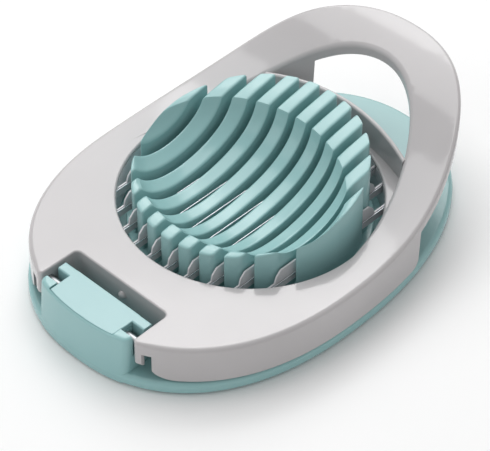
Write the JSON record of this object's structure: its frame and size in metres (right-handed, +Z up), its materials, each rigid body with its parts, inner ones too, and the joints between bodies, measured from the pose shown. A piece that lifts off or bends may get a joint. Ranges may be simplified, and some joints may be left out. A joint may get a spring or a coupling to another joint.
{
  "type": "egg slicer",
  "caption": "Hand egg slicer: oval base with a slatted egg cradle, and a hinged wire frame with a raised loop handle.",
  "frame": {"origin": "on the table under the centre of the round hole", "axes": "+X from the hinge to the handle, +Z up, +Y to the left seen from the hinge"},
  "size_m": [0.126, 0.0888, 0.0357],
  "materials": {
    "teal_abs": "moulded ABS, satin gloss",
    "teal_abs_lid": "moulded ABS, satin gloss",
    "grey_abs": "moulded ABS, polished",
    "pale_abs": "moulded ABS, satin",
    "wire_steel": "drawn stainless wire",
    "steel": "turned stainless",
    "rubber": "matte"
  },
  "bodies": {
    "base": {"base_tray": "teal_abs", "hinge_cover": "teal_abs_lid", "egg_cradle": "teal_abs", "foot_1": "rubber", "foot_2": "rubber", "foot_3": "rubber", "foot_4": "rubber"},
    "frame": {"top_frame": "grey_abs", "wire_carrier": "pale_abs", "wire_comb_hinge": "pale_abs", "wire_comb_handle": "pale_abs", "wire_01": "wire_steel", "wire_02": "wire_steel", "wire_03": "wire_steel", "wire_04": "wire_steel", "wire_05": "wire_steel", "wire_06": "wire_steel", "wire_07": "wire_steel", "wire_08": "wire_steel", "wire_09": "wire_steel", "wire_10": "wire_steel", "hinge_pin_left": "steel", "hinge_pin_right": "steel", "carrier_screw_1": "steel", "carrier_screw_2": "steel", "carrier_screw_3": "steel", "carrier_screw_4": "steel"}
  },
  "joints": [
    {"name": "frame_hinge", "type": "hinge", "parent": "base", "child": "frame", "pos_m": [-0.0556, 0, 0.0116], "axis": [0, -1, 0], "range_deg": [0, 100]}
  ]
}
